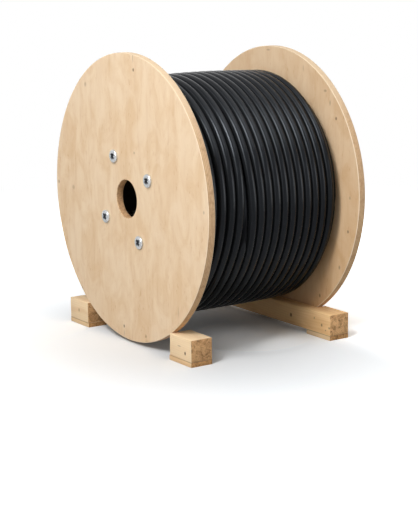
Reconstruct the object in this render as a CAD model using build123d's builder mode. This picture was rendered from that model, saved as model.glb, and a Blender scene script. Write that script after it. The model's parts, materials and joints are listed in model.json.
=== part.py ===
# A wooden cable drum: two plywood flanges and a staved barrel, drawn together by four tie bolts,
# wound full of cable and standing on two timber blocks and a notched timber bearer.
# Lengths are in millimetres. The drum's axis lies along Y with the front flange at -Y, +Z is up,
# and the origin is on the floor under the middle of the drum.

import os
from math import cos, radians, sin, sqrt

from build123d import *

os.makedirs("parts", exist_ok=True)

# Flanges
flange_dia = 600.0
flange_thickness = 16.0
inner_width = 356.4
arbor_bore_dia = 80.0

# Barrel of flat staves, measured over its corners
barrel_dia = 250.0
stave_count = 12
stave_thickness = 15.0
stave_joint = 0.6
stave_groove_depth = 4.0

# Winding
cable_dia = 19.7
cable_above_bearers = 2.0
winding_crown = 4.4
turns_short_of_rear = 1
turn_valley_depth_share = 0.36

# Tie bolts and their cap nuts
bolt_count = 4
first_bolt_angle = 29.2
shank_dia = 10.0
head_dia = 28.0
head_crown_dia = 18.0
head_height = 4.5
recess_span = 14.0
recess_width = 4.4
recess_depth = 2.8
recess_turn = 45.0
sleeve_dia = 13.0
sleeve_setback = 3.0
nut_floor = 2.0
shank_tip_gap = 1.0
wood_beside_bolt_hole = 1.85

# Bearer, blocks and their foot boards
flange_above_floor = 5.6
bearer_width = 50.0
bearer_height = 45.0
bearer_arris = 1.5
bearer_overhang = 5.8
block_length = 77.5
foot_length = 80.0
foot_thickness = 10.0
foot_arris = 1.0

# The gap left wherever one piece seats against or in another
seat_gap = 0.3

# The drum's own places
flange_radius = flange_dia / 2
inner_face = inner_width / 2
outer_face = inner_face + flange_thickness
axis_height = flange_above_floor + flange_radius
drum_axis = Axis((0, 0, axis_height), (0, 1, 0))
ends = (("front", -1), ("rear", 1))
hands = (("left", -1), ("right", 1))

# The barrel is a polygon, so its flats lie nearer to the axis than its corners.
stave_half_angle = radians(180 / stave_count)
barrel_flat = barrel_dia / 2 * cos(stave_half_angle)
barrel_hollow_flat = barrel_flat - stave_thickness

# The bolts pass just inside the barrel, as far out as the wood beside the wider rear holes allows.
bolt_hole_dias = {"front": shank_dia + 2 * seat_gap, "rear": sleeve_dia + 2 * seat_gap}
bolt_reach = barrel_hollow_flat - seat_gap - wood_beside_bolt_hole - bolt_hole_dias["rear"] / 2

# A flange hangs in the bearer's notch, or between the blocks, and rests on two upper edges.
bearer_top = foot_thickness + bearer_height
notch_length = 2 * sqrt((flange_radius + seat_gap) ** 2 - (axis_height - bearer_top) ** 2)
bearer_length = notch_length + 2 * block_length
bearer_outer_face = outer_face + bearer_overhang
bearer_middle = bearer_outer_face - bearer_width / 2
notch_depth = bearer_outer_face - inner_face + seat_gap


def across(y, turn=0):
    """The plane square to the drum's axis at y, facing the front, its x turned up from +X."""
    return Plane(origin=(0, y, axis_height), x_dir=(cos(turn), 0, sin(turn)), z_dir=(0, -1, 0))


# Flanges: a disc with the arbor bore, the bolt holes and the groove that takes the stave ends.
# The rear holes are wider, for the sleeves of the cap nuts.
for end, side in ends:
    with BuildPart() as flange:
        with BuildSketch(across(side * inner_face)):
            Circle(flange_radius)
            Circle(arbor_bore_dia / 2, mode=Mode.SUBTRACT)
            with PolarLocations(bolt_reach, bolt_count, start_angle=first_bolt_angle):
                Circle(bolt_hole_dias[end] / 2, mode=Mode.SUBTRACT)
        extrude(amount=-side * flange_thickness)
        with BuildSketch(across(side * inner_face)):
            groove_outer, groove_inner = barrel_flat + seat_gap, barrel_hollow_flat - seat_gap
            RegularPolygon(groove_outer, stave_count, major_radius=False, align=None)
            RegularPolygon(groove_inner, stave_count, major_radius=False, align=None, mode=Mode.SUBTRACT)
        extrude(amount=-side * stave_groove_depth, mode=Mode.SUBTRACT)
    flange.part.label = f"{end}_flange"
    export_step(flange.part, f"parts/{end}_flange.step")


# Staves: flat boards with mitred sides, parted by narrow joints, their ends in the grooves.
stave_end = inner_face + stave_groove_depth - seat_gap
mitre_gap = stave_joint / 2 / cos(stave_half_angle)
outer_half = barrel_flat * sin(stave_half_angle) / cos(stave_half_angle) - mitre_gap
inner_half = barrel_hollow_flat * sin(stave_half_angle) / cos(stave_half_angle) - mitre_gap
for number in range(stave_count):
    with BuildPart() as stave:
        with BuildSketch(across(stave_end, (2 * number + 1) * stave_half_angle)):
            with BuildLine():
                Polyline(
                    (barrel_flat, -outer_half),
                    (barrel_flat, outer_half),
                    (barrel_hollow_flat, inner_half),
                    (barrel_hollow_flat, -inner_half),
                    close=True,
                )
            make_face()
        extrude(amount=2 * stave_end)
    stave.part.label = f"stave_{number + 1:02d}"
    export_step(stave.part, f"parts/stave_{number + 1:02d}.step")


# Cable: the whole winding is one turned solid on the barrel, a little fuller in the middle. Each
# turn of its outer layer shows as a ridge, with a valley where it meets the next. That layer ends
# a turn short of the rear flange, where a turn of the layer below it shows.
winding_end_radius = axis_height - bearer_top - cable_above_bearers
winding_width = inner_width - 2 * seat_gap
winding_bore_radius = barrel_dia / 2 + seat_gap
turn_count = int(winding_width / cable_dia)
turn_pitch = winding_width / turn_count
outer_turn_count = turn_count - turns_short_of_rear
valley_depth = turn_valley_depth_share * cable_dia
layer_depth = cable_dia * sqrt(3) / 2

winding_outline = [(-winding_width / 2, winding_bore_radius)]
for first_turn, end_turn, depth in ((0, outer_turn_count, 0), (outer_turn_count, turn_count, layer_depth)):
    for half_turn in range(2 * first_turn, 2 * end_turn + 1):
        y = half_turn * turn_pitch / 2 - winding_width / 2
        ridge_radius = winding_end_radius + winding_crown * (1 - (2 * y / winding_width) ** 2) - depth
        in_valley = half_turn % 2 == 0
        winding_outline.append((y, ridge_radius - valley_depth if in_valley else ridge_radius))
winding_outline.append((winding_width / 2, winding_bore_radius))

with BuildPart() as cable:
    with BuildSketch(Plane(origin=(0, 0, axis_height), x_dir=(0, 1, 0), z_dir=(1, 0, 0))):
        with BuildLine():
            Polyline(winding_outline, close=True)
        make_face()
    revolve(axis=drum_axis)
cable.part.label = "cable"
export_step(cable.part, "parts/cable.step")


# Tie bolts: a wide head with a cross recess on the front flange, and a shank that runs inside
# the barrel into the sleeve of a cap nut. The cap nut has the same head on the rear flange.
shank_radius = shank_dia / 2
crown_radius = head_crown_dia / 2
head_radius = head_dia / 2
sleeve_radius = sleeve_dia / 2
sleeve_length = flange_thickness - sleeve_setback
nut_bore_radius = shank_radius + seat_gap
shank_length = 2 * outer_face - nut_floor - shank_tip_gap
bolt_places = []
for number in range(bolt_count):
    angle = radians(first_bolt_angle + number * 360 / bolt_count)
    bolt_places.append((bolt_reach * cos(angle), axis_height + bolt_reach * sin(angle)))

for number, (bolt_x, bolt_z) in enumerate(bolt_places):
    with BuildPart() as bolt:
        with BuildSketch(Plane(origin=(bolt_x, -outer_face, bolt_z), x_dir=(1, 0, 0), z_dir=(0, 0, 1))):
            with BuildLine():
                Polyline(
                    (0, -head_height),
                    (crown_radius, -head_height),
                    (head_radius, 0),
                    (shank_radius, 0),
                    (shank_radius, shank_length),
                    (0, shank_length),
                    close=True,
                )
            make_face()
        revolve(axis=Axis((bolt_x, 0, bolt_z), (0, 1, 0)))
        crown = -outer_face - head_height
        with BuildSketch(Plane(origin=(bolt_x, crown, bolt_z), x_dir=(1, 0, 0), z_dir=(0, -1, 0))):
            Rectangle(recess_span, recess_width, rotation=recess_turn)
            Rectangle(recess_width, recess_span, rotation=recess_turn)
        extrude(amount=-recess_depth, mode=Mode.SUBTRACT)
    bolt.part.label = f"tie_bolt_{number + 1}"
    export_step(bolt.part, f"parts/tie_bolt_{number + 1}.step")

# The cap nuts share a node, as four solids that stand well apart.
with BuildPart() as nuts:
    for bolt_x, bolt_z in bolt_places:
        with BuildSketch(Plane(origin=(bolt_x, outer_face, bolt_z), x_dir=(1, 0, 0), z_dir=(0, 0, 1))):
            with BuildLine():
                Polyline(
                    (0, head_height),
                    (crown_radius, head_height),
                    (head_radius, 0),
                    (sleeve_radius, 0),
                    (sleeve_radius, -sleeve_length),
                    (nut_bore_radius, -sleeve_length),
                    (nut_bore_radius, -nut_floor),
                    (0, -nut_floor),
                    close=True,
                )
            make_face()
        revolve(axis=Axis((bolt_x, 0, bolt_z), (0, 1, 0)))
        crown = outer_face + head_height
        with BuildSketch(Plane(origin=(bolt_x, crown, bolt_z), x_dir=(1, 0, 0), z_dir=(0, -1, 0))):
            Rectangle(recess_span, recess_width, rotation=recess_turn)
            Rectangle(recess_width, recess_span, rotation=recess_turn)
        extrude(amount=recess_depth, mode=Mode.SUBTRACT)
nuts.part.label = "cap_nuts"
export_step(nuts.part, "parts/cap_nuts.step")


# Rear bearer: a squared timber under the rear flange. Its outer side is notched between the ends,
# where the flange hangs in, and the rail behind the notch stays whole.
with BuildPart() as bearer:
    with BuildSketch(Plane.XY.offset(foot_thickness)):
        with Locations((0, bearer_middle)):
            Rectangle(bearer_length, bearer_width)
        with Locations((0, bearer_outer_face - notch_depth / 2)):
            Rectangle(notch_length, notch_depth, mode=Mode.SUBTRACT)
    extrude(amount=bearer_height)
    end_grain = bearer.faces().filter_by(Axis.X).sort_by(Axis.X)
    top_edges = bearer.faces().sort_by(Axis.Z)[-1].edges().filter_by(Axis.X).group_by(Axis.Y)
    chamfer(end_grain[0].edges() + end_grain[-1].edges() + top_edges[0] + top_edges[-1], bearer_arris)
bearer.part.label = "rear_bearer"
export_step(bearer.part, "parts/rear_bearer.step")


# Front bearer: two blocks of the same timber, which share a node. The front flange hangs between
# them and rests on their upper inner edges, which stay sharp.
block_middle = (bearer_length - block_length) / 2
with BuildPart() as blocks:
    with BuildSketch(Plane.XY.offset(foot_thickness)):
        with Locations((-block_middle, -bearer_middle), (block_middle, -bearer_middle)):
            Rectangle(block_length, bearer_width)
    extrude(amount=bearer_height)
    end_grain = blocks.faces().filter_by(Axis.X).sort_by(Axis.X)
    top_edges = blocks.faces().group_by(Axis.Z)[-1].edges().filter_by(Axis.X)
    chamfer(end_grain[0].edges() + end_grain[-1].edges() + top_edges, bearer_arris)
blocks.part.label = "front_bearer"
export_step(blocks.part, "parts/front_bearer.step")


# Foot boards lift the blocks and both ends of the bearer.
for end, side in ends:
    for hand, hand_side in hands:
        foot_middle = hand_side * (bearer_length - foot_length) / 2
        with BuildPart() as foot:
            with BuildSketch(Plane.XY):
                with Locations((foot_middle, side * bearer_middle)):
                    Rectangle(foot_length, bearer_width)
            extrude(amount=foot_thickness)
            chamfer(foot.edges().filter_by(Axis.Z), foot_arris)
        foot.part.label = f"{end}_{hand}_foot"
        export_step(foot.part, f"parts/{end}_{hand}_foot.step")
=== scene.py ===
import json
from math import cos, pi, radians, sin, sqrt, tau

import bpy
from mathutils import Matrix, Vector


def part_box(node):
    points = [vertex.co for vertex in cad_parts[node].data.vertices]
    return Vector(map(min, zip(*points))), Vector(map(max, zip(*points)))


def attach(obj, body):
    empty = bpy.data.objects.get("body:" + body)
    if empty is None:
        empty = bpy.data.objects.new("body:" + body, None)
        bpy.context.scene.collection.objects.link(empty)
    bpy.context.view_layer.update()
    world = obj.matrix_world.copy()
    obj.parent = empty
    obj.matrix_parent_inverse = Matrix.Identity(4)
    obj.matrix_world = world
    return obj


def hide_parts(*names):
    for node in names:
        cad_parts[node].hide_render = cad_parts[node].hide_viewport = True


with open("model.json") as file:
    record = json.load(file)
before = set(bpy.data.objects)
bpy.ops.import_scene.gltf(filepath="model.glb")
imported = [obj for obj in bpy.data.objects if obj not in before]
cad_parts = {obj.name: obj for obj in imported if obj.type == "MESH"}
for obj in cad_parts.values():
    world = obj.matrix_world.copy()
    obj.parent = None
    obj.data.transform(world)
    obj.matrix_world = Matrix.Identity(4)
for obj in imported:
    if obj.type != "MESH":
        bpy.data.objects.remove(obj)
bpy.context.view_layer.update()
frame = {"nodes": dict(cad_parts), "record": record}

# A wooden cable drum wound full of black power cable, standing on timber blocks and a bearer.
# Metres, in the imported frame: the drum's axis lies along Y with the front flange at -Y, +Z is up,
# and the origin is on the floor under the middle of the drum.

MM = 0.001


# Sizes read from the frame
front_low, front_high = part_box("front_flange")
rear_low, rear_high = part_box("rear_flange")
flange_radius = (front_high.x - front_low.x) / 2
axis_height = (front_high.z + front_low.z) / 2
flange_thickness = front_high.y - front_low.y
inner_face = rear_low.y
outer_face = rear_high.y
arbor = next(mount for mount in frame["record"]["mounts"] if mount["name"] == "arbor_bore")
arbor_radius = arbor["dims"]["r_mm"] * MM
winding_low, winding_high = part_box("cable")
winding_radius = (winding_high.x - winding_low.x) / 2
bearer_low, bearer_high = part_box("front_bearer")
foot_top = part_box("front_left_foot")[1].z


def node_middle(node):
    """The middle of a CAD node's box."""
    low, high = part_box(node)
    return (low + high) / 2


BOLT_COUNT = 4
bolt_places = [node_middle(f"tie_bolt_{number + 1}") for number in range(BOLT_COUNT)]


# Modelling steps


def only(*pieces):
    """Selects just these pieces and makes the first one active."""
    bpy.ops.object.select_all(action="DESELECT")
    for piece in pieces:
        piece.select_set(True)
    bpy.context.view_layer.objects.active = pieces[0]


def settle(piece):
    """Puts the piece's place, turn and scale into its mesh."""
    only(piece)
    bpy.ops.object.transform_apply(location=True, rotation=True, scale=True)
    return piece


def modify(piece, kind, **settings):
    """Adds a modifier with these settings and applies it."""
    modifier = piece.modifiers.new(kind.lower(), kind)
    for setting, value in settings.items():
        setattr(modifier, setting, value)
    only(piece)
    bpy.ops.object.modifier_apply(modifier=modifier.name)


def cut(piece, *cutters):
    """Cuts each cutter out of the piece and removes the cutter."""
    for cutter in cutters:
        modify(piece, "BOOLEAN", operation="DIFFERENCE", solver="EXACT", object=cutter)
        bpy.data.objects.remove(cutter)


def round_arrises(piece, width, segments, sharper_than=40):
    """Rounds the edges that turn by more than so many degrees."""
    limits = {"limit_method": "ANGLE", "angle_limit": radians(sharper_than)}
    modify(piece, "BEVEL", width=width, segments=segments, **limits)


def pick_faces(piece, wanted):
    """Enters edit mode with just the faces selected that wanted() picks."""
    only(piece)
    bpy.ops.object.mode_set(mode="EDIT")
    bpy.ops.mesh.select_mode(type="FACE")
    bpy.ops.mesh.select_all(action="DESELECT")
    bpy.ops.object.mode_set(mode="OBJECT")
    for face in piece.data.polygons:
        face.select = wanted(face)
    bpy.ops.object.mode_set(mode="EDIT")


def rod(sides, radius, y_from, y_to, x=0.0, z=axis_height):
    """A round bar along the drum's axis."""
    bpy.ops.mesh.primitive_cylinder_add(
        vertices=sides,
        radius=radius,
        depth=y_to - y_from,
        location=(x, (y_from + y_to) / 2, z),
        rotation=(pi / 2, 0, 0),
    )
    return settle(bpy.context.object)


def block(low, high):
    """A squared block between two corners."""
    low, high = Vector(low), Vector(high)
    bpy.ops.mesh.primitive_cube_add(size=1, location=(low + high) / 2, scale=high - low)
    return settle(bpy.context.object)


def paint(piece, *materials):
    """Gives the piece these materials in place of any that it has."""
    piece.data.materials.clear()
    for material in materials:
        piece.data.materials.append(material)


def hand_over(piece, name, slot, *nodes, smooth=radians(35)):
    """Names and smooths a finished piece and lets it stand for its CAD nodes."""
    settle(piece)
    bpy.ops.object.shade_smooth_by_angle(angle=smooth)
    piece.name = piece.data.name = name
    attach(piece, "root")
    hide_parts(*nodes)


# Material steps


def colour(hex_value):
    """A #RRGGBB colour as linear values."""
    channels = [int(hex_value[i : i + 2], 16) / 255 for i in (1, 3, 5)]
    return (*[c / 12.92 if c <= 0.04045 else ((c + 0.055) / 1.055) ** 2.4 for c in channels], 1.0)


def add(tree, kind, inputs=None, **settings):
    """Adds a node with these settings; inputs are values, or sockets to link from."""
    node = tree.nodes.new(f"ShaderNode{kind}")
    for setting, value in settings.items():
        setattr(node, setting, value)
    for socket, value in (inputs or {}).items():
        if isinstance(value, bpy.types.NodeSocket):
            tree.links.new(value, node.inputs[socket])
        else:
            node.inputs[socket].default_value = value
    return node


def new_material(name):
    """An empty node material and the output that its shader goes to."""
    material = bpy.data.materials.new(name)
    material.use_nodes = True
    tree = material.node_tree
    tree.nodes.clear()
    return material, tree, add(tree, "OutputMaterial")


# Mix nodes number their value sockets 2 and 3, their colour sockets 6 and 7 and their colour result 2.
VALUE_A, VALUE_B = 2, 3
COLOUR_A, COLOUR_B, COLOUR_RESULT = 6, 7, 2


def blend(tree, factor, first, second, mode="MIX"):
    """Mixes two colours and returns the result's socket."""
    inputs = {0: factor, COLOUR_A: first, COLOUR_B: second}
    return add(tree, "Mix", inputs, data_type="RGBA", blend_type=mode).outputs[COLOUR_RESULT]


def stretched_noise(tree, place, width, length, along, detail=3.0, roughness=0.5, distortion=0.0, shift=0.0):
    """Noise whose spots are width wide and length long, drawn out along one axis."""
    scale = [1 / width] * 3
    scale["XYZ".index(along)] = 1 / length
    mapped = add(tree, "Mapping", {"Vector": place, "Scale": scale, "Location": (shift, shift, shift)})
    inputs = {"Vector": mapped.outputs[0], "Scale": 1.0, "Detail": detail, "Roughness": roughness}
    inputs["Distortion"] = distortion
    return add(tree, "TexNoise", inputs).outputs["Fac"]


def step_up(tree, value, start, end, low=0.0, high=1.0):
    """Rises smoothly from low to high while value goes from start to end."""
    inputs = {"Value": value, "From Min": start, "From Max": end, "To Min": low, "To Max": high}
    return add(tree, "MapRange", inputs, interpolation_type="SMOOTHSTEP").outputs[0]


def sums(tree, operation, *values):
    """A Math node over sockets or numbers."""
    return add(tree, "Math", dict(enumerate(values)), operation=operation).outputs[0]


def from_drum_axis(tree, place):
    """How far a point lies from the drum's axis."""
    offset = add(tree, "VectorMath", {0: place, 1: (0, 0, axis_height)}, operation="SUBTRACT").outputs[0]
    level = add(tree, "VectorMath", {0: offset, 1: (1, 0, 1)}, operation="MULTIPLY").outputs[0]
    return add(tree, "VectorMath", {0: level}, operation="LENGTH").outputs["Value"]


def marks(tree, place, spots):
    """A mask of small dark marks: each is a centre, its half sizes along X, Y and Z and a strength."""
    mask = 0.0
    for centre, half_sizes, strength in spots:
        offset = add(tree, "VectorMath", {0: place, 1: centre}, operation="SUBTRACT").outputs[0]
        shares = add(tree, "VectorMath", {0: offset, 1: half_sizes}, operation="DIVIDE").outputs[0]
        reach = add(tree, "VectorMath", {0: shares}, operation="LENGTH").outputs["Value"]
        mask = sums(tree, "MAXIMUM", mask, step_up(tree, reach, 1.0, 0.25, 0.0, strength))
    return mask


# Rotary-cut softwood veneer, the sanded outer ply of the flanges: pale cream, with a faint flame
# figure that runs upright, thin wavy latewood lines, soft tan streaks, fibres and small knots. Real
# fibres are too fine to show, so here and in the softwood they are drawn about 1 mm wide.
FLAME_WIDTH, FLAME_LENGTH = 95 * MM, 420 * MM
FIBRE_WIDTH, FIBRE_LENGTH = 1.2 * MM, 40 * MM
STREAK_WIDTH, STREAK_LENGTH = 9 * MM, 150 * MM
BLOTCH_WIDTH, BLOTCH_LENGTH = 42 * MM, 85 * MM
FLECK_WIDTH, FLECK_LENGTH = 4 * MM, 16 * MM
LINES_PER_FLAME = 8.0
VENEER_RELIEF = 0.15 * MM
SKIN = 6 * MM
# Painted shadow round each bolt head: its half size, how far it slips down and aside, its strength.
HEAD_SHADOW_HALF, HEAD_SHADOW_SLIP, HEAD_SHADOW_STRENGTH = 19 * MM, 1.6 * MM, 0.7
# Painted shade on the rear flange: where it starts along the drum, and the heights between which it grows.
REAR_SHADE_FROM, REAR_SHADE_TO = 0.0, 100 * MM
SHADE_LEAST_ABOVE, SHADE_MOST_BELOW = 250 * MM, 200 * MM


def on_face(y, x, z, half_width, half_height, strength):
    """A mark on a flange face; z is counted from the drum's axis, in millimetres like the rest."""
    centre = (x * MM, y, axis_height + z * MM)
    return centre, (half_width * MM, SKIN, half_height * MM), strength


VENEER_KNOTS = [
    on_face(-outer_face, 37, 267, 4, 5, 0.85),
    on_face(-outer_face, -160, 227, 6, 7, 0.35),
    on_face(-outer_face, -290, 4, 4, 6, 0.55),
    on_face(-outer_face, -224, -1, 8, 7, 0.28),
    on_face(-outer_face, 34, 99, 4, 4, 0.4),
    on_face(-outer_face, -196, -222, 4, 5, 0.35),
    on_face(-outer_face, -21, -274, 4, 5, 0.8),
    on_face(-outer_face, 66, -279, 4, 5, 0.45),
    on_face(-outer_face, 284, 9, 4, 5, 0.35),
    on_face(-outer_face, 36, 292, 2, 15, 0.4),
    on_face(-outer_face, -21, -289, 2, 10, 0.35),
    on_face(-outer_face, 66, -290, 2, 8, 0.35),
    on_face(-outer_face, 190, -204, 2.5, 16, 0.22),
    on_face(inner_face, 224, 159, 4, 5, 0.8),
    on_face(inner_face, 188, 214, 7, 4, 0.45),
    on_face(inner_face, 204, 190, 3, 8, 0.45),
    on_face(inner_face, 265, -72, 4, 5, 0.7),
    on_face(inner_face, 238, -152, 4, 6, 0.5),
    on_face(inner_face, 173, -224, 4, 6, 0.6),
    on_face(inner_face, 270, -1, 4, 5, 0.35),
    on_face(inner_face, 114, 257, 2, 10, 0.3),
    on_face(inner_face, -9, 291, 9, 3, 0.35),
    on_face(outer_face, -120, 160, 5, 6, 0.6),
    on_face(outer_face, 210, -60, 5, 5, 0.5),
    on_face(outer_face, 40, -230, 4, 6, 0.6),
]


def rotary_cut_veneer():
    material, tree, output = new_material("rotary_cut_veneer")
    place = add(tree, "TexCoord").outputs["Object"]
    # Both sides of a flange differ, so the pattern runs faster through its thickness.
    spread = add(tree, "Mapping", {"Vector": place, "Scale": (1, 7, 1)}).outputs[0]
    flame = stretched_noise(tree, spread, FLAME_WIDTH, FLAME_LENGTH, "Z", 2.0, 0.45, 0.5)
    rings = sums(tree, "PINGPONG", sums(tree, "MULTIPLY", flame, 2 * LINES_PER_FLAME), 1.0)
    late = step_up(tree, rings, 0.72, 1.0)
    early = step_up(tree, rings, 0.0, 0.6)
    fibre = stretched_noise(tree, spread, FIBRE_WIDTH, FIBRE_LENGTH, "Z", 4.0, 0.6)
    streak = stretched_noise(tree, spread, STREAK_WIDTH, STREAK_LENGTH, "Z", 3.0, 0.55, 0.3, 5.9)
    blotch = stretched_noise(tree, spread, BLOTCH_WIDTH, BLOTCH_LENGTH, "Z", 5.0, 0.6, 0.8, 3.7)
    fleck = stretched_noise(tree, spread, FLECK_WIDTH, FLECK_LENGTH, "Z", 2.0, 0.5, 0.6, 7.3)

    wood = blend(tree, step_up(tree, blotch, 0.35, 0.7), colour("#EDD4B4"), colour("#E2C29B"))
    wood = blend(tree, sums(tree, "MULTIPLY", early, 0.08), wood, colour("#DDBA92"))
    wood = blend(tree, step_up(tree, streak, 0.5, 0.82, 0.0, 0.22), wood, colour("#D6AC80"))
    # The latewood lines come and go along the flame, and so do the tan flecks.
    line_share = sums(tree, "MULTIPLY", late, step_up(tree, streak, 0.35, 0.7, 0.01, 0.13))
    wood = blend(tree, line_share, wood, colour("#C79C70"))
    fleck_share = step_up(tree, blotch, 0.4, 0.65, 0.22, 0.62)
    fleck_share = sums(tree, "MULTIPLY", step_up(tree, fleck, 0.6, 0.76), fleck_share)
    wood = blend(tree, fleck_share, wood, colour("#CC9F73"))
    wood = blend(tree, step_up(tree, fibre, 0.5, 0.8, 0.0, 0.1), wood, colour("#CFA87E"))
    wood = blend(tree, marks(tree, place, VENEER_KNOTS), wood, colour("#6E4A32"))
    # Painted shadow: a dark ring on the wood below and beside each bolt head.
    head_shadows = [
        ((bolt.x + HEAD_SHADOW_SLIP, -outer_face, bolt.z - HEAD_SHADOW_SLIP), [HEAD_SHADOW_HALF] * 3, HEAD_SHADOW_STRENGTH)
        for bolt in bolt_places
    ]
    wood = blend(tree, marks(tree, place, head_shadows), wood, colour("#6B5442"))
    # Painted shade: the rear flange's faces are painted browner, more so towards the bottom, for the
    # winding's shade.
    axes = add(tree, "SeparateXYZ", {0: place}).outputs
    at_rear = step_up(tree, axes[1], REAR_SHADE_FROM, REAR_SHADE_TO)
    rear_shade_top, rear_shade_bottom = axis_height + SHADE_LEAST_ABOVE, axis_height - SHADE_MOST_BELOW
    rear_shade_share = step_up(tree, axes[2], rear_shade_top, rear_shade_bottom, 0.2, 0.6)
    shaded_ply = blend(tree, 1.0, wood, colour("#F2D9B4"), "MULTIPLY")
    wood = blend(tree, sums(tree, "MULTIPLY", at_rear, rear_shade_share), wood, shaded_ply)

    relief = sums(tree, "ADD", sums(tree, "MULTIPLY", fibre, 0.7), sums(tree, "MULTIPLY", late, 0.3))
    bump = add(tree, "Bump", {"Strength": 0.25, "Distance": VENEER_RELIEF, "Height": relief})
    surface = {"Base Color": wood, "Roughness": step_up(tree, fibre, 0.2, 0.8, 0.55, 0.7), "IOR": 1.5}
    surface["Specular IOR Level"] = 0.25
    surface["Normal"] = bump.outputs[0]
    shader = add(tree, "BsdfPrincipled", surface)
    tree.links.new(shader.outputs[0], output.inputs[0])
    return material


# Sawn and sanded plywood edge, on the rims and in the arbor bore: nine thin plies whose grain runs
# by turns upright and level, so each is pale where it is cut along and brown where it is cut across.
PLY_COUNT = 9
PLY_WANDER, PLY_WANDER_LENGTH = 0.8 * MM, 30 * MM
EDGE_STREAK, EDGE_MOTTLE = 5 * MM, 14 * MM
PALE_ARRIS_FROM, PALE_ARRIS_TO = 1.6 * MM, 0.9 * MM
EDGE_RELIEF = 0.3 * MM


def plywood_edge():
    material, tree, output = new_material("plywood_edge")
    place = add(tree, "TexCoord").outputs["Object"]
    axes = add(tree, "SeparateXYZ", {0: place}).outputs
    depth = sums(tree, "SUBTRACT", sums(tree, "ABSOLUTE", axes[1]), inner_face)
    wander = stretched_noise(tree, place, PLY_WANDER_LENGTH, PLY_WANDER_LENGTH, "X", 2.0)
    wavy = sums(tree, "MULTIPLY_ADD", sums(tree, "SUBTRACT", wander, 0.5), PLY_WANDER, depth)
    ply = sums(tree, "MULTIPLY", wavy, PLY_COUNT / flange_thickness)
    within = sums(tree, "FRACT", ply)
    from_glue = sums(tree, "SUBTRACT", 0.5, sums(tree, "ABSOLUTE", sums(tree, "SUBTRACT", within, 0.5)))
    glue = step_up(tree, from_glue, 0.14, 0.03)
    crossed = sums(tree, "MODULO", sums(tree, "FLOOR", ply), 2.0)

    across_x = sums(tree, "ABSOLUTE", sums(tree, "DIVIDE", axes[0], flange_radius))
    above_axis = sums(tree, "SUBTRACT", axes[2], axis_height)
    across_z = sums(tree, "ABSOLUTE", sums(tree, "DIVIDE", above_axis, flange_radius))
    upright_cut = step_up(tree, across_z, 0.25, 0.9)
    level_cut = step_up(tree, across_x, 0.25, 0.9)
    cut_across = add(tree, "Mix", {0: crossed, VALUE_A: upright_cut, VALUE_B: level_cut}).outputs[0]

    streak = stretched_noise(tree, place, EDGE_STREAK, EDGE_STREAK, "X", 4.0, 0.6)
    mottle = stretched_noise(tree, place, EDGE_MOTTLE, EDGE_MOTTLE, "X", 3.0, 0.6, 0.6, 5.3)
    wood = blend(tree, cut_across, colour("#DEBC91"), colour("#C79E72"))
    wood = blend(tree, step_up(tree, mottle, 0.46, 0.7, 0.0, 0.55), wood, colour("#B08459"))
    wood = blend(tree, step_up(tree, streak, 0.52, 0.78, 0.0, 0.5), wood, colour("#9A7048"))
    wood = blend(tree, sums(tree, "MULTIPLY", glue, 0.5), wood, colour("#84603F"))
    # A pale line along both arrises of the rim: partly paler sanded wood, partly painted highlight.
    half = flange_thickness / 2
    from_middle = sums(tree, "ABSOLUTE", sums(tree, "SUBTRACT", depth, half))
    sanded_arris_and_highlight = step_up(tree, from_middle, half - PALE_ARRIS_FROM, half - PALE_ARRIS_TO)
    wood = blend(tree, sums(tree, "MULTIPLY", sanded_arris_and_highlight, 0.7), wood, colour("#FBE8CC"))
    # Painted light: the top of the rim is painted paler, where the light falls on it; the bore is as sawn,
    # with torn darker grain.
    topness = step_up(tree, above_axis, 0.35 * flange_radius, 0.85 * flange_radius, 0.0, 0.65)
    wood = blend(tree, topness, wood, colour("#EAD2B0"))
    in_bore = step_up(tree, from_drum_axis(tree, place), 1.3 * arbor_radius, 1.1 * arbor_radius)
    wood = blend(tree, in_bore, wood, blend(tree, 1.0, wood, colour("#F6E8D6"), "MULTIPLY"))
    torn = sums(tree, "MULTIPLY", in_bore, step_up(tree, streak, 0.45, 0.65, 0.0, 0.5))
    wood = blend(tree, torn, wood, colour("#96694A"))

    relief = sums(tree, "SUBTRACT", streak, sums(tree, "MULTIPLY", glue, 0.6))
    bump = add(tree, "Bump", {"Strength": 0.4, "Distance": EDGE_RELIEF, "Height": relief})
    surface = {"Base Color": wood, "Roughness": 0.72, "IOR": 1.5, "Normal": bump.outputs[0]}
    shader = add(tree, "BsdfPrincipled", surface)
    tree.links.new(shader.outputs[0], output.inputs[0])
    return material


# Planed spruce and pine, in the bearers, their foot boards and the barrel's staves. The growth
# rings lie round a pith outside the timber, so the long sides show lines and the ends show arcs;
# the sawn end grain drinks light and looks browner.
RING_SPACING = 4.2 * MM
RING_BEND, BEND_WIDTH, BEND_LENGTH = 16 * MM, 40 * MM, 260 * MM
GRAIN_WIDTH, GRAIN_LENGTH = 0.9 * MM, 30 * MM
TONE_WIDTH, TONE_LENGTH = 22 * MM, 110 * MM
PORE_SPOT, SMUDGE_SPOT = 2.4 * MM, 11 * MM
CHECK_SPACING = 13 * MM
JOINT_FROM, JOINT_TO = 1.3 * MM, 0.4 * MM
TIMBER_RELIEF = 0.25 * MM


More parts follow.
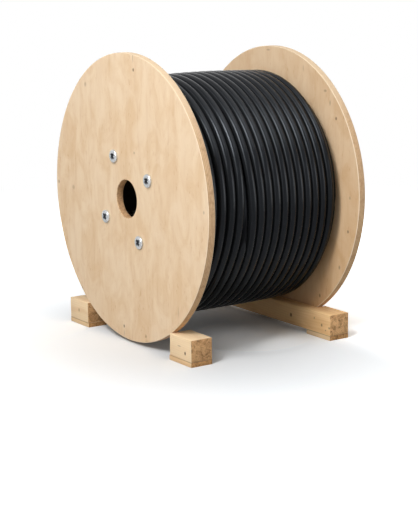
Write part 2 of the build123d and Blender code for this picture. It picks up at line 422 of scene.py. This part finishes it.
def planed_softwood(name, pith, pale, dark, end_pale, end_dark, along="X", knots=()):
    """A softwood whose grain runs along one axis, round a pith through a point in millimetres."""
    material, tree, output = new_material(name)
    coordinates = add(tree, "TexCoord").outputs
    place, normal = coordinates["Object"], coordinates["Normal"]
    bend = stretched_noise(tree, place, BEND_WIDTH, BEND_LENGTH, along, 2.0, 0.5, 0.0, pith[2])
    axis = "XYZ".index(along)
    flat = [1.0, 1.0, 1.0]
    flat[axis] = 0.0
    pith_place = [value * MM for value in pith]
    offset = add(tree, "VectorMath", {0: place, 1: pith_place}, operation="SUBTRACT").outputs[0]
    level = add(tree, "VectorMath", {0: offset, 1: flat}, operation="MULTIPLY").outputs[0]
    reach = add(tree, "VectorMath", {0: level}, operation="LENGTH").outputs["Value"]
    bent = sums(tree, "MULTIPLY_ADD", bend, RING_BEND, reach)
    ring = sums(tree, "FRACT", sums(tree, "DIVIDE", bent, RING_SPACING))
    late = sums(tree, "MULTIPLY", step_up(tree, ring, 0.35, 0.9), step_up(tree, ring, 1.0, 0.93))
    fibre = stretched_noise(tree, place, GRAIN_WIDTH, GRAIN_LENGTH, along, 4.0, 0.6)
    tone = stretched_noise(tree, place, TONE_WIDTH, TONE_LENGTH, along, 2.0, 0.5, 0.4, 1.9)
    pores = stretched_noise(tree, place, PORE_SPOT, PORE_SPOT, along, 4.0, 0.65, 0.3, 6.7)
    smudge = stretched_noise(tree, place, SMUDGE_SPOT, SMUDGE_SPOT, along, 2.0, 0.6, 0.8, 4.2)

    # Checks are the hair cracks that open in end grain as it dries; only some of them have opened.
    crack_place = add(tree, "Mapping", {"Vector": place, "Scale": [1 / CHECK_SPACING] * 3}).outputs[0]
    wobble = add(tree, "TexNoise", {"Vector": crack_place, "Scale": 1.3, "Detail": 3.0}).outputs["Color"]
    bent_place = add(tree, "VectorMath", {0: crack_place, 1: wobble}, operation="ADD").outputs[0]
    cells = add(tree, "TexVoronoi", {"Vector": bent_place, "Scale": 1.0}, feature="DISTANCE_TO_EDGE")
    opened = step_up(tree, smudge, 0.48, 0.6)
    check = sums(tree, "MULTIPLY", step_up(tree, cells.outputs["Distance"], 0.06, 0.02), opened)

    long_side = blend(tree, sums(tree, "MULTIPLY", late, 0.16), colour(pale), colour(dark))
    long_side = blend(tree, step_up(tree, tone, 0.4, 0.75, 0.0, 0.45), long_side, colour(dark))
    long_side = blend(tree, step_up(tree, fibre, 0.5, 0.8, 0.0, 0.25), long_side, colour(dark))
    end_side = blend(tree, sums(tree, "MULTIPLY", late, 0.2), colour(end_pale), colour(end_dark))
    end_side = blend(tree, step_up(tree, smudge, 0.4, 0.68, 0.0, 0.75), end_side, colour(end_dark))
    end_side = blend(tree, step_up(tree, pores, 0.48, 0.72, 0.0, 0.6), end_side, colour("#8A6038"))
    end_side = blend(tree, sums(tree, "MULTIPLY", check, 0.6), end_side, colour("#5E4024"))
    facing = sums(tree, "ABSOLUTE", add(tree, "SeparateXYZ", {0: normal}).outputs[axis])
    at_end = step_up(tree, facing, 0.55, 0.85)
    wood = blend(tree, at_end, long_side, end_side)
    if knots:
        wood = blend(tree, marks(tree, place, knots), wood, colour("#5E3A20"))
    # Painted shade: the joint between a timber and its foot board is painted darker.
    height = add(tree, "SeparateXYZ", {0: place}).outputs[2]
    from_joint = sums(tree, "ABSOLUTE", sums(tree, "SUBTRACT", height, foot_top))
    painted_joint_shade = step_up(tree, from_joint, JOINT_FROM, JOINT_TO, 0.0, 0.45)
    wood = blend(tree, painted_joint_shade, wood, colour("#6A4A2C"))

    relief = sums(tree, "ADD", sums(tree, "MULTIPLY", fibre, 0.6), sums(tree, "MULTIPLY", late, 0.4))
    rough_end = sums(tree, "MULTIPLY", pores, at_end)
    relief = sums(tree, "ADD", relief, rough_end)
    bump = add(tree, "Bump", {"Strength": 0.35, "Distance": TIMBER_RELIEF, "Height": relief})
    surface = {"Base Color": wood, "Roughness": 0.68, "IOR": 1.5, "Normal": bump.outputs[0]}
    surface["Specular IOR Level"] = 0.2
    shader = add(tree, "BsdfPrincipled", surface)
    tree.links.new(shader.outputs[0], output.inputs[0])
    return material


# Extruded PVC sheath of the cable: near black, satin, with a faint drag of the die along it and
# dusty rubbed places. It is dull down in the grooves, and painted shade makes it blacker there. The
# drag lines are drawn 1.5 mm wide, coarser than real ones, so that they show.
CABLE_RADIUS = 9.1 * MM
WINDING_CROWN = 4.4 * MM
LAYER_DEPTH = 17.06 * MM
DUST_SPOT = 26 * MM
DRAG_LINE, DRAG_RELIEF = 1.5 * MM, 0.12 * MM
GROOVE_FROM, GROOVE_TO = 2.6 * MM, 5.0 * MM
REAR_FLANK_SHADE_DEPTH = 1.6 * MM
BACK_FROM, BACK_TO, BACK_SHARE = 8.3 * MM, 10 * MM, 0.4
winding_width = winding_high.y - winding_low.y


def extruded_sheath():
    material, tree, output = new_material("extruded_pvc_sheath")
    coordinates = add(tree, "TexCoord").outputs
    place = coordinates["Object"]
    dust = stretched_noise(tree, place, DUST_SPOT, DUST_SPOT, "Y", 4.0, 0.6, 0.4)
    # The drag lines run along each turn, so they hardly change round the drum.
    axes = add(tree, "SeparateXYZ", {0: place}).outputs
    reach = from_drum_axis(tree, place)
    round_drum = add(tree, "CombineXYZ", {0: reach, 1: axes[1]}).outputs[0]
    drag = stretched_noise(tree, round_drum, DRAG_LINE, DRAG_LINE, "Y", 2.0, 0.6, 0.0, 2.2)
    # How deep a point lies below the crest of the outer layer or of the one below it. Where turns
    # have spread apart, what shows deep between them is again the rounded back of a turn.
    off_middle = sums(tree, "DIVIDE", axes[1], winding_width / 2)
    crown_drop = sums(tree, "MULTIPLY", off_middle, off_middle)
    crest = sums(tree, "MULTIPLY_ADD", crown_drop, -WINDING_CROWN, winding_radius)
    depth = sums(tree, "SUBTRACT", crest, reach)
    to_lower = sums(tree, "ABSOLUTE", sums(tree, "SUBTRACT", LAYER_DEPTH, depth))
    # The painted groove shade, and the dullness with it, starts higher up on the rear side of each
    # turn than on its front side.
    rearward = add(tree, "SeparateXYZ", {0: coordinates["Normal"]}).outputs[1]
    rear_flank_shade = step_up(tree, rearward, 0.3, 0.8, 0.0, REAR_FLANK_SHADE_DEPTH)
    below_crest = sums(tree, "ADD", sums(tree, "MINIMUM", depth, to_lower), rear_flank_shade)
    groove_shade_and_dullness = step_up(tree, below_crest, GROOVE_FROM, GROOVE_TO)
    groove_shade_and_dullness = sums(tree, "MULTIPLY", groove_shade_and_dullness, step_up(tree, depth, BACK_FROM, BACK_TO, 1.0, BACK_SHARE))

    black = blend(tree, step_up(tree, dust, 0.5, 0.8, 0.0, 0.6), colour("#08090C"), colour("#101317"))
    # Painted shade: near black down in the grooves.
    black = blend(tree, groove_shade_and_dullness, black, colour("#020203"))
    dragged = step_up(tree, drag, 0.35, 0.7, 0.0, 0.07)
    dull = sums(tree, "ADD", step_up(tree, dust, 0.35, 0.75, 0.17, 0.24), dragged)
    dull = add(tree, "Mix", {0: groove_shade_and_dullness, VALUE_A: dull, VALUE_B: 1.0}).outputs[0]
    bump = add(tree, "Bump", {"Strength": 0.3, "Distance": DRAG_RELIEF, "Height": drag})
    surface = {"Base Color": black, "Roughness": dull, "IOR": 1.5, "Normal": bump.outputs[0]}
    surface["Specular IOR Level"] = 0.19
    surface["Specular Tint"] = (0.84, 0.91, 1.0, 1.0)
    shader = add(tree, "BsdfPrincipled", surface)
    tree.links.new(shader.outputs[0], output.inputs[0])
    return material


# Bright zinc plate on pressed steel: a cool silver with a slightly uneven shine and duller clouds.
CLOUD_SPOT, PLATE_RELIEF = 3 * MM, 0.05 * MM


def zinc_plate():
    material, tree, output = new_material("bright_zinc_plate")
    place = add(tree, "TexCoord").outputs["Object"]
    cloud = stretched_noise(tree, place, CLOUD_SPOT, CLOUD_SPOT, "Y", 3.0, 0.6)
    silver = blend(tree, step_up(tree, cloud, 0.4, 0.7), colour("#CFD1D3"), colour("#A9ADB2"))
    bump = add(tree, "Bump", {"Strength": 0.1, "Distance": PLATE_RELIEF, "Height": cloud})
    surface = {"Base Color": silver, "Metallic": 1.0, "Normal": bump.outputs[0]}
    surface["Roughness"] = step_up(tree, cloud, 0.3, 0.75, 0.2, 0.36)
    shader = add(tree, "BsdfPrincipled", surface)
    tree.links.new(shader.outputs[0], output.inputs[0])
    return material


# Painted shade: the recesses are painted dull and nearly black, as shade falls in them.
def shaded_recess():
    material, tree, output = new_material("painted_shade_in_the_recess")
    surface = {"Base Color": colour("#0E141C"), "Roughness": 0.6, "IOR": 1.5, "Specular IOR Level": 0.3}
    shader = add(tree, "BsdfPrincipled", surface)
    tree.links.new(shader.outputs[0], output.inputs[0])
    return material


veneer = rotary_cut_veneer()
ply_edge = plywood_edge()
sheath = extruded_sheath()
zinc = zinc_plate()
recess_shade = shaded_recess()


# Flanges: each a plywood disc with its arbor bore, its bolt holes, the twelve-sided groove for the
# stave ends and sanded arrises. The plies show on the rim and in the bore.
RIM_SIDES, BORE_SIDES, HOLE_SIDES = 192, 96, 32
ARRIS, ARRIS_STEPS = 1.3 * MM, 3
OVERRUN = 5 * MM
STAVE_COUNT = 12
GROOVE_DEPTH = 4 * MM
SEAT_GAP = 0.3 * MM
SHANK_RADIUS, SLEEVE_RADIUS = 5 * MM, 6.5 * MM
hole_radii = {"front": SHANK_RADIUS + SEAT_GAP, "rear": SLEEVE_RADIUS + SEAT_GAP}

first_stave_turn = pi / STAVE_COUNT
stave_outward = Vector((cos(first_stave_turn), 0, sin(first_stave_turn)))
stave_reaches = [
    (vertex.co - Vector((0, 0, axis_height))).dot(stave_outward)
    for vertex in frame["nodes"]["stave_01"].data.vertices
]


def groove_ring(y_from, y_to):
    """The twelve-sided ring that the stave ends fill, with their gap."""
    corner_share = 1 / cos(first_stave_turn)
    ring = rod(STAVE_COUNT, (max(stave_reaches) + SEAT_GAP) * corner_share, y_from, y_to)
    core = rod(STAVE_COUNT, (min(stave_reaches) - SEAT_GAP) * corner_share, y_from - OVERRUN, y_to + OVERRUN)
    cut(ring, core)
    return ring


def make_flange(end, side):
    low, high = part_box(f"{end}_flange")
    disc = rod(RIM_SIDES, flange_radius, low.y, high.y)
    cut(disc, rod(BORE_SIDES, arbor_radius, low.y - OVERRUN, high.y + OVERRUN))
    round_arrises(disc, ARRIS, ARRIS_STEPS)
    for place in bolt_places:
        cut(disc, rod(HOLE_SIDES, hole_radii[end], low.y - OVERRUN, high.y + OVERRUN, place.x, place.z))
    groove_ends = sorted((side * (inner_face - OVERRUN), side * (inner_face + GROOVE_DEPTH)))
    cut(disc, groove_ring(*groove_ends))

    paint(disc, ply_edge, veneer)
    hand_over(disc, f"{end}_plywood_flange", "flange_plywood", f"{end}_flange")
    pick_faces(disc, lambda face: abs(face.normal.y) > 0.99)
    disc.active_material_index = 1
    bpy.ops.object.material_slot_assign()
    bpy.ops.mesh.faces_shade_flat()
    bpy.ops.object.mode_set(mode="OBJECT")


for flange_end, flange_side in (("front", -1), ("rear", 1)):
    make_flange(flange_end, flange_side)


# Winding: two real layers of round cable over a core that stands for the deeper ones. Each turn
# runs square round the drum and steps over to the next place at -X, the far side from the camera.
# The outer end is cut square, low on that side.
TURN_COUNT = 18
OUTER_TURNS, TAIL_TURNS = 17, 0.2
CROSSING_SHARE = 0.09
SECTION_STEPS = 6
POINTS_PER_TURN = 120
# No turn is wound quite true: each sways along the drum and lies a little slack.
SWAY, SWAYS_PER_TURN, SWAY_START, SWAY_BEATS = 0.25 * MM, 5.3, 1.0, 1.37
SLACK, SLACKS_PER_TURN, OUTER_SINK = 0.25 * MM, 3.1, 0.3 * MM
turn_pitch = winding_width / TURN_COUNT

# One turn of the outer layer lies deep between its neighbours round the top and comes up to the
# surface at +X. The turns beside it close in over it, shifted so many millimetres to the rear. It
# sinks between the rise angles and comes out between the fall angles, in degrees from +X upwards.
SUNK_TURN = 5
TOP_SHIFTS = [4, 6.5, 9, 11.5, 13.5, 0, -3, -1.5, -0.5]
SIDE_SHIFTS = [0.5, 1, 1.6, 2.2, 2.6, 2.8, 2.2, 1.4, 0.6]
RISE_START, RISE_END = -38, 34
FALL_START, FALL_END = 120, 160


def ease(value, start, end):
    """0 at start, 1 at end and smooth between."""
    share = min(max((value - start) / (end - start), 0.0), 1.0)
    return share * share * (3 - 2 * share)


def turn_middle(turn, degrees):
    """Where a turn of the outer layer lies along the drum at an angle."""
    middle = winding_low.y + (turn + 0.5) * turn_pitch
    if turn >= len(TOP_SHIFTS):
        return middle
    topness = ease(degrees, RISE_START, RISE_END) * (1 - ease(degrees, FALL_START, FALL_END))
    return middle + (SIDE_SHIFTS[turn] + (TOP_SHIFTS[turn] - SIDE_SHIFTS[turn]) * topness) * MM


def layer_radius(y):
    """The outer layer's middle line; the winding is fullest in its middle."""
    return winding_radius - CABLE_RADIUS - WINDING_CROWN * (2 * y / winding_width) ** 2


def outer_point(turns):
    """A point of the outer layer's route, a number of turns after the crossing where it starts."""
    turn = min(max(int(turns), 0), OUTER_TURNS)
    share = turns - turn
    degrees = 360 * share - 180
    y = turn_middle(turn, degrees)
    depth = 0.0
    if turn == SUNK_TURN:
        before, after = turn_middle(turn - 1, degrees), turn_middle(turn + 1, degrees)
        y = (before + after) / 2
        depth = sqrt(max((2 * CABLE_RADIUS) ** 2 - ((after - before) / 2) ** 2, 0.0))
    if turn < OUTER_TURNS and share > 1 - CROSSING_SHARE:
        crossed = ease(share, 1 - CROSSING_SHARE, 1 + CROSSING_SHARE)
        y += (turn_middle(turn + 1, degrees - 360) - y) * crossed
    elif turn > 0 and share < CROSSING_SHARE:
        crossed = ease(share, -CROSSING_SHARE, CROSSING_SHARE)
        y = turn_middle(turn - 1, degrees + 360) * (1 - crossed) + y * crossed
    elif turn == 0:
        depth = LAYER_DEPTH * (1 - ease(share, 0, 2 * CROSSING_SHARE))
    sway = SWAY * sin(SWAYS_PER_TURN * tau * turns + SWAY_START) * sin(SWAY_BEATS * tau * turns)
    slack = SLACK * sin(SLACKS_PER_TURN * tau * turns)
    radius = layer_radius(y) - depth + slack - OUTER_SINK
    angle = radians(degrees)
    return (radius * cos(angle), y + sway, axis_height + radius * sin(angle))


def lower_point(turns):
    """A point of the layer below, whose turns step over at +X, under the outer layer."""
    turn = min(int(turns), TURN_COUNT - 1)
    share = turns - turn
    y = winding_low.y + (turn + 0.5 + ease(share, 1 - CROSSING_SHARE, 1)) * turn_pitch
    angle = tau * share
    radius = layer_radius(y) - LAYER_DEPTH
    return (radius * cos(angle), min(y, winding_high.y - turn_pitch / 2), axis_height + radius * sin(angle))


def cable_run(points, section_steps):
    """A round cable through the points, made a mesh."""
    curve = bpy.data.curves.new("cable_run", "CURVE")
    curve.dimensions = "3D"
    curve.bevel_depth = CABLE_RADIUS
    curve.bevel_resolution = section_steps
    curve.use_fill_caps = True
    spline = curve.splines.new("POLY")
    spline.points.add(len(points) - 1)
    for point, place in zip(spline.points, points):
        point.co = (*place, 1.0)
    run = bpy.data.objects.new("cable_run", curve)
    bpy.context.scene.collection.objects.link(run)
    only(run)
    bpy.ops.object.convert(target="MESH")
    return bpy.context.object


def make_winding():
    steps = int((OUTER_TURNS + TAIL_TURNS) * POINTS_PER_TURN)
    outer = cable_run([outer_point(step / POINTS_PER_TURN) for step in range(steps)], SECTION_STEPS)
    lower_steps = POINTS_PER_TURN // 2
    lower_points = [lower_point(step / lower_steps) for step in range(TURN_COUNT * lower_steps)]
    lower = cable_run(lower_points, SECTION_STEPS // 2)
    core = rod(BORE_SIDES, layer_radius(winding_high.y) - LAYER_DEPTH, winding_low.y, winding_high.y)
    barrel_reach = max(stave_reaches) / cos(first_stave_turn) + SEAT_GAP
    cut(core, rod(BORE_SIDES, barrel_reach, winding_low.y - OVERRUN, winding_high.y + OVERRUN))
    only(outer, lower, core)
    bpy.ops.object.join()
    winding = bpy.context.object
    paint(winding, sheath)
    hand_over(winding, "cable_winding", "cable_sheath", "cable", smooth=radians(50))


make_winding()


# Bolt heads: pressed flat domes with upright rolled sides and a tapered cross recess. The profile
# is given as shares of the radius and of the rise above the edge.
HEAD_RADIUS, HEAD_HEIGHT = 14 * MM, 4.5 * MM
HEAD_SIDES = 64
HEAD_EDGE = 0.9 * MM
HEAD_PROFILE = [(0.985, 0.4), (0.95, 0.66), (0.89, 0.82), (0.8, 0.9), (0.6, 0.96), (0.35, 1.0)]
RECESS_SPAN, RECESS_WIDTH, RECESS_DEPTH = 17 * MM, 7.4 * MM, 2.8 * MM
RECESS_TURN = radians(45)
RECESS_TAPER_SHARE = 0.75
HEAD_ARRIS, HEAD_ARRIS_STEPS = 0.3 * MM, 2
NUT_SLEEVE_LENGTH, NUT_BORE_RADIUS = 13 * MM, 5.3 * MM
NUT_FLOOR = 2 * MM
RECESS_SHADE_BELOW_CROWN, RECESS_SHADE_REACH_SHARE = 0.35 * MM, 0.45
SEAT_TOLERANCE = 0.01 * MM


def domed_head():
    """A head at the drum's axis, its seat at Y zero and its dome towards -Y."""
    head = rod(HEAD_SIDES, HEAD_RADIUS, -HEAD_EDGE, 0.0, z=0.0)
    pick_faces(head, lambda face: face.normal.y < -0.9)
    reach, rise = HEAD_RADIUS, 0.0
    for reach_share, rise_share in HEAD_PROFILE:
        next_reach = HEAD_RADIUS * reach_share
        next_rise = (HEAD_HEIGHT - HEAD_EDGE) * rise_share
        bpy.ops.mesh.inset(thickness=reach - next_reach, depth=next_rise - rise)
        reach, rise = next_reach, next_rise
    bpy.ops.object.mode_set(mode="OBJECT")
    for turn in (RECESS_TURN, RECESS_TURN + pi / 2):
        arm = block(
            (-RECESS_SPAN / 2, -HEAD_HEIGHT - RECESS_DEPTH, -RECESS_WIDTH / 2),
            (RECESS_SPAN / 2, -HEAD_HEIGHT + RECESS_DEPTH, RECESS_WIDTH / 2),
        )
        pick_faces(arm, lambda face: face.normal.y > 0.9)
        taper = RECESS_TAPER_SHARE
        bpy.ops.transform.resize(value=(taper, 1, taper), center_override=(0, 0, 0))
        bpy.ops.object.mode_set(mode="OBJECT")
        arm.rotation_euler = (0, turn, 0)
        settle(arm)
        cut(head, arm)
    round_arrises(head, HEAD_ARRIS, HEAD_ARRIS_STEPS, sharper_than=30)
    return head


def dress_heads(piece):
    """Zinc all over, with painted shade in the recesses, whose faces lie inside the crown."""
    paint(piece, zinc, recess_shade)
    for face in piece.data.polygons:
        middle = face.center
        outward = abs(middle.y) - outer_face
        from_head = min((middle - Vector((bolt.x, middle.y, bolt.z))).length for bolt in bolt_places)
        within = from_head < RECESS_SHADE_REACH_SHARE * RECESS_SPAN
        below_crown = outward < HEAD_HEIGHT - RECESS_SHADE_BELOW_CROWN
        above_floor = outward > HEAD_HEIGHT - RECESS_DEPTH - HEAD_ARRIS
        face.material_index = int(within and below_crown and above_floor)


def pick_seat(head):
    """Enters edit mode with just the head's seat selected."""
    pick_faces(head, lambda face: face.normal.y > 0.99 and face.center.y > -SEAT_TOLERANCE)


def extrude_back(length):
    """Extrudes what is selected along +Y."""
    bpy.ops.mesh.extrude_region_move(TRANSFORM_OT_translate={"value": (0, length, 0)})


def make_tie_bolt(number, place):
    shank_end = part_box(f"tie_bolt_{number}")[1].y
    bolt = domed_head()
    pick_seat(bolt)
    bpy.ops.mesh.inset(thickness=HEAD_RADIUS - HEAD_ARRIS - SHANK_RADIUS)
    extrude_back(shank_end + outer_face)
    bpy.ops.object.mode_set(mode="OBJECT")
    bolt.location = (place.x, -outer_face, place.z)
    settle(bolt)
    dress_heads(bolt)
    hand_over(bolt, f"zinc_tie_bolt_{number}", "zinc_plated_steel", f"tie_bolt_{number}")


def make_cap_nuts():
    nuts = []
    for place in bolt_places:
        nut = domed_head()
        pick_seat(nut)
        bpy.ops.mesh.inset(thickness=HEAD_RADIUS - HEAD_ARRIS - SLEEVE_RADIUS)
        extrude_back(NUT_SLEEVE_LENGTH)
        bpy.ops.mesh.inset(thickness=SLEEVE_RADIUS - NUT_BORE_RADIUS)
        extrude_back(NUT_FLOOR - NUT_SLEEVE_LENGTH)
        bpy.ops.object.mode_set(mode="OBJECT")
        nut.rotation_euler = (0, 0, pi)
        nut.location = (place.x, outer_face, place.z)
        nuts.append(settle(nut))
    only(*nuts)
    bpy.ops.object.join()
    joined = bpy.context.object
    dress_heads(joined)
    hand_over(joined, "zinc_cap_nuts", "zinc_plated_steel", "cap_nuts")


for bolt_number, bolt_place in enumerate(bolt_places, 1):
    make_tie_bolt(bolt_number, bolt_place)
make_cap_nuts()


# Bearers and foot boards. The rear bearer is one timber, notched where the flange hangs in; the
# front one is two blocks with the flange between them.
EDGE_ROUND, EDGE_STEPS = 1.4 * MM, 3
FOOT_ROUND = 0.9 * MM
rest_drop = axis_height - bearer_high.z
notch_half = sqrt((flange_radius + SEAT_GAP) ** 2 - rest_drop**2)


def planed_timber(low, high, rounding, *cutters):
    """A squared timber with its cuts made and its arrises eased."""
    timber = block(low, high)
    cut(timber, *cutters)
    round_arrises(timber, rounding, EDGE_STEPS)
    return timber


def make_bearer(end, notch_from, material):
    low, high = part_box(f"{end}_bearer")
    notch = block(
        (-notch_half, notch_from, low.z - OVERRUN), (notch_half, high.y + OVERRUN, high.z + OVERRUN)
    )
    bearer = planed_timber(low, high, EDGE_ROUND, notch)
    paint(bearer, material)
    hand_over(bearer, f"{end}_timber_bearer", "bearer_timber", f"{end}_bearer")


def make_foot(end, hand, material):
    node = f"{end}_{hand}_foot"
    foot = planed_timber(*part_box(node), FOOT_ROUND)
    paint(foot, material)
    hand_over(foot, f"{end}_{hand}_foot_board", "foot_timber", node)


KNOT_HALF = 3.8 * MM


def bearer_knot(y, x, z, width, height, strength):
    """A knot on a bearer's long side, as wide and high as so many plain knots."""
    return (x * MM, y, z * MM), (width * KNOT_HALF, SKIN, height * KNOT_HALF), strength


front_knots = [
    bearer_knot(bearer_low.y, 221, 25, 1, 1.4, 1.0),
    bearer_knot(bearer_low.y, 200, 36, 2.4, 0.6, 0.35),
    bearer_knot(bearer_low.y, -205, 32, 0.8, 1.5, 0.6),
]
rear_bearer_inner = -bearer_high.y
rear_knots = [
    bearer_knot(rear_bearer_inner, 109, 31, 1.4, 1.6, 0.8),
    bearer_knot(rear_bearer_inner, 215, 29, 1, 1.2, 0.7),
    bearer_knot(rear_bearer_inner, 240, 27, 1, 1, 0.6),
    bearer_knot(rear_bearer_inner, 190, 40, 0.7, 1, 0.5),
    bearer_knot(rear_bearer_inner, 228, 20, 0.8, 0.7, 0.5),
]
front_timber = planed_softwood(
    "planed_spruce_front", (0, -215, -30), "#F5DAB3", "#E0B584", "#D4A876", "#AA7E52", knots=front_knots
)
rear_timber = planed_softwood(
    "planed_spruce_rear", (0, 240, -60), "#FCD29A", "#D2985C", "#EABB86", "#B68654", knots=rear_knots
)
foot_timber = planed_softwood("planed_pine_foot", (0, -90, -50), "#EBCB9F", "#CB9C68", "#C79862", "#966C40")
make_bearer("front", bearer_low.y - OVERRUN, front_timber)
make_bearer("rear", inner_face - SEAT_GAP, rear_timber)
for foot_end in ("front", "rear"):
    for foot_hand in ("left", "right"):
        make_foot(foot_end, foot_hand, foot_timber)


# Staves: the CAD boards stay and get sawn softwood painted nearly black, painted shade inside the barrel;
# its grain runs along the drum.
# The photograph shows nothing of them but blackness through the arbor bore.
shaded_stave_timber = planed_softwood(
    "sawn_spruce_stave_in_painted_shade", (60, 0, 90), "#3E3020", "#2A1F14", "#33271A", "#20170E", along="Y"
)
for stave_number in range(STAVE_COUNT):
    paint(frame["nodes"][f"stave_{stave_number + 1:02d}"], shaded_stave_timber)


# Floor: white, seamless, with the drum's shadow on it. It glows white beyond the shadow's reach.
FLOOR_SIZE = 240.0
SHADOW_REACH, WHITE_REACH = 1.1, 2.2
SHADE_MIDDLE = (0.15, -0.15, 0)
SHADE_FROM, SHADE_TO = 0.05, 0.9
NEAR_WHITE, FAR_WHITE = 0.82, 1.6
UNDER_MIDDLE = (0.11, 0.03, 0)
UNDER_FROM, UNDER_TO, UNDER_LIFT = 0.15, 0.04, 0.8
BEHIND_FROM, BEHIND_TO, BEHIND_LIFT = 0.12, 0.4, 1.3
COOL_RED, COOL_BLUE = 0.98, 1.015
THROWN_WHITE, MIRRORED_WHITE = (0.5, 0.5, 0.5, 1.0), (0.9, 0.9, 0.9, 1.0)
UNSEEN_GLOW = 0.65


def studio_floor():
    bpy.ops.mesh.primitive_plane_add(size=FLOOR_SIZE, location=(0, 0, 0))
    floor = bpy.context.object
    floor.name = floor.data.name = "studio_floor"
    material, tree, output = new_material("white_studio_floor")
    place = add(tree, "TexCoord").outputs["Object"]
    distance = add(tree, "VectorMath", {0: place}, operation="LENGTH").outputs["Value"]
    rays = add(tree, "LightPath").outputs
    mirrored = sums(tree, "MAXIMUM", rays["Is Glossy Ray"], rays["Is Transmission Ray"])
    seen = sums(tree, "MAXIMUM", rays["Is Camera Ray"], mirrored)
    # Seen directly the floor grows whiter than real paint away from the drum, so that only the
    # shadow under it and close beside it shows. What it throws on the drum stays plain.
    from_shade = add(tree, "VectorMath", {0: place, 1: SHADE_MIDDLE}, operation="DISTANCE").outputs["Value"]
    level = step_up(tree, from_shade, SHADE_FROM, SHADE_TO, NEAR_WHITE, FAR_WHITE)
    # Painted light makes the shadow lighter under the drum itself and fades it out behind it.
    from_under = add(tree, "VectorMath", {0: place, 1: UNDER_MIDDLE}, operation="DISTANCE").outputs["Value"]
    level = sums(tree, "ADD", level, step_up(tree, from_under, UNDER_FROM, UNDER_TO, 0.0, UNDER_LIFT))
    rearward = add(tree, "SeparateXYZ", {0: place}).outputs[1]
    level = sums(tree, "ADD", level, step_up(tree, rearward, BEHIND_FROM, BEHIND_TO, 0.0, BEHIND_LIFT))
    # The paint is a cool white, which evens out the warm light that comes back from the wood.
    red, blue = sums(tree, "MULTIPLY", level, COOL_RED), sums(tree, "MULTIPLY", level, COOL_BLUE)
    lit = add(tree, "CombineColor", {0: red, 1: level, 2: blue}).outputs[0]
    white = blend(tree, mirrored, THROWN_WHITE, MIRRORED_WHITE)
    white = blend(tree, rays["Is Camera Ray"], white, lit)
    near = add(tree, "BsdfDiffuse", {"Color": white})
    glow = sums(tree, "MULTIPLY_ADD", seen, 1 - UNSEEN_GLOW, UNSEEN_GLOW)
    far = add(tree, "Emission", {"Color": (1, 1, 1, 1), "Strength": glow})
    fade = step_up(tree, distance, SHADOW_REACH, WHITE_REACH)
    floor_mix = add(tree, "MixShader", {0: fade, 1: near.outputs[0], 2: far.outputs[0]})
    tree.links.new(floor_mix.outputs[0], output.inputs[0])
    floor.data.materials.append(material)


studio_floor()


# Studio light: white surroundings, a tall softbox in front, a large one overhead and a weak one on
# the right. The shine lights give each turn of the cable its narrow light line and its sheen.
SURROUND_LEVEL = 0.32
world = bpy.data.worlds.new("white_studio")
bpy.context.scene.world = world
world.use_nodes = True
world_tree = world.node_tree
world_tree.nodes.clear()
world_rays = add(world_tree, "LightPath").outputs
world_seen = sums(world_tree, "MAXIMUM", world_rays["Is Camera Ray"], world_rays["Is Glossy Ray"])
world_seen = sums(world_tree, "MAXIMUM", world_seen, world_rays["Is Transmission Ray"])
world_level = sums(world_tree, "MULTIPLY_ADD", world_seen, 1 - SURROUND_LEVEL, SURROUND_LEVEL)
surround = add(world_tree, "Background", {"Color": (1, 1, 1, 1), "Strength": world_level})
add(world_tree, "OutputWorld", {0: surround.outputs[0]})


def softbox(name, place, width, height, power, shine_only=False):
    """A softbox that faces the middle of the drum; a shine_only one just adds to the highlights."""
    lamp = bpy.data.lights.new(name, "AREA")
    lamp.shape = "RECTANGLE"
    lamp.size = width
    lamp.size_y = height
    lamp.energy = power
    holder = bpy.data.objects.new(name, lamp)
    holder.location = place
    holder.visible_diffuse = not shine_only
    aim = Vector((0, 0, axis_height)) - Vector(place)
    holder.rotation_euler = aim.to_track_quat("-Z", "Y").to_euler()
    bpy.context.scene.collection.objects.link(holder)


FRONT_PLACE, FRONT_SIZE = (0.92, -1.85, 2.1), (0.8, 1.2)
softbox("front_softbox", FRONT_PLACE, *FRONT_SIZE, 56)
softbox("front_shine", FRONT_PLACE, *FRONT_SIZE, 125, shine_only=True)
softbox("right_shine", (2.2, 1.5, 0.4), 0.8, 1.4, 6, shine_only=True)
softbox("rear_shine", (1.3, 1.9, 0.25), 0.4, 0.9, 3.4, shine_only=True)
softbox("overhead_shine", (1.2, 0.5, 2.4), 1.6, 1.6, 20, shine_only=True)
softbox("overhead_softbox", (0.5, 0.3, 3.0), 2.0, 2.0, 12)
softbox("right_softbox", (2.2, 1.6, 0.9), 1.0, 1.0, 8)


# Camera: solved from the outlines of the flanges and the corners of the bearers in the photograph.
PHOTO_HEIGHT = 511
FOCAL_PIXELS = 1427.0
SENSOR_WIDTH = 36.0
camera_data = bpy.data.cameras.new("camera")
camera_data.sensor_width = SENSOR_WIDTH
camera_data.lens = FOCAL_PIXELS / PHOTO_HEIGHT * SENSOR_WIDTH
camera_data.clip_end = 2 * FLOOR_SIZE
camera = bpy.data.objects.new("camera", camera_data)
camera.location = (2.502, -1.695, 0.7645)
heading, dip, roll = 0.97253, 0.19641, -0.01081
camera.rotation_euler = (
    Matrix.Rotation(heading, 3, "Z") @ Matrix.Rotation(pi / 2 - dip, 3, "X") @ Matrix.Rotation(roll, 3, "Z")
).to_euler()
bpy.context.scene.collection.objects.link(camera)
bpy.context.scene.camera = camera
bpy.context.scene.view_settings.view_transform = "Standard"

bpy.context.view_layer.update()
